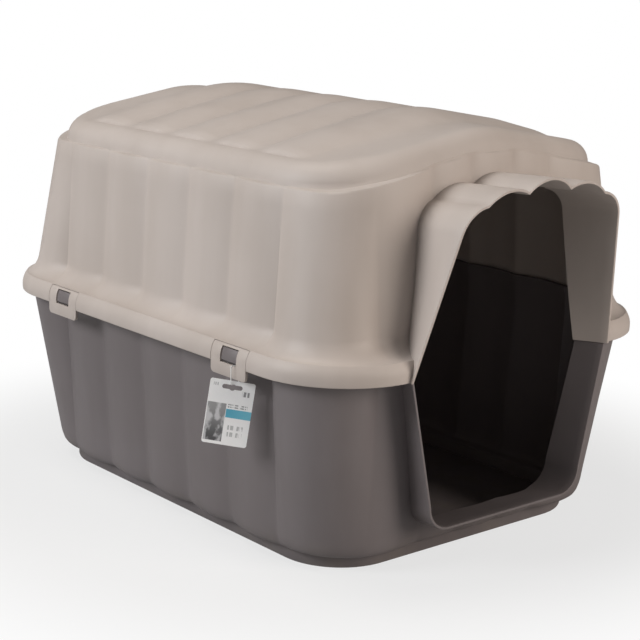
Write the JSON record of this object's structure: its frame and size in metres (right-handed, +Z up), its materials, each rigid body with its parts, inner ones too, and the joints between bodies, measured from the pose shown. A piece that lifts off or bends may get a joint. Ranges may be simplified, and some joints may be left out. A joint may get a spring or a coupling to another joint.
{
  "type": "dog house",
  "caption": "Two-part moulded plastic dog house with a lift-off fluted roof shell, a dark base shell, an arched doorway hood, side snap tabs and a hang tag.",
  "frame": {"origin": "on the ground, under the middle of the rim", "axes": "+Z up, -Y out through the doorway, +X to the right seen from the front"},
  "size_m": [0.6664, 0.8655, 0.5755],
  "materials": {
    "roof_plastic": "taupe moulded plastic, satin",
    "base_plastic": "dark grey-brown moulded plastic, satin",
    "loop_filament": "translucent white filament",
    "tag_card": null
  },
  "bodies": {
    "base": {"base_shell": "base_plastic"},
    "roof": {"roof_shell": "roof_plastic"},
    "tab_left_front": {"snap_tab_left_front": "roof_plastic"},
    "tab_left_rear": {"snap_tab_left_rear": "roof_plastic"},
    "tab_right_front": {"snap_tab_right_front": "roof_plastic"},
    "tab_right_rear": {"snap_tab_right_rear": "roof_plastic"},
    "loop": {"tag_loop": "loop_filament"},
    "card": {"hang_tag": "tag_card"}
  },
  "joints": [
    {"name": "roof_lift", "type": "slide", "parent": "base", "child": "roof", "axis": [0, 0, 1], "range_m": [0, 0.38]},
    {"name": "tab_left_front_flex", "type": "hinge", "parent": "roof", "child": "tab_left_front", "pos_m": [-0.3074, -0.2095, 0.292], "axis": [0, 1, 0], "range_deg": [0, 10], "stiffness_Nm_per_rad": 3},
    {"name": "tab_left_rear_flex", "type": "hinge", "parent": "roof", "child": "tab_left_rear", "pos_m": [-0.3074, 0.1965, 0.292], "axis": [0, 1, 0], "range_deg": [0, 10], "stiffness_Nm_per_rad": 3},
    {"name": "tab_right_front_flex", "type": "hinge", "parent": "roof", "child": "tab_right_front", "pos_m": [0.3074, -0.2095, 0.292], "axis": [0, -1, 0], "range_deg": [0, 10], "stiffness_Nm_per_rad": 3},
    {"name": "tab_right_rear_flex", "type": "hinge", "parent": "roof", "child": "tab_right_rear", "pos_m": [0.3074, 0.1965, 0.292], "axis": [0, -1, 0], "range_deg": [0, 10], "stiffness_Nm_per_rad": 3},
    {"name": "loop_swing", "type": "hinge", "parent": "tab_left_front", "child": "loop", "pos_m": [-0.3148, -0.2235, 0.2689], "axis": [0, 1, 0], "range_deg": [-6, 6]},
    {"name": "card_swing", "type": "hinge", "parent": "loop", "child": "card", "pos_m": [-0.3194, -0.2235, 0.2446], "axis": [-0.6428, -0.766, 0], "range_deg": [-8, 8]}
  ]
}
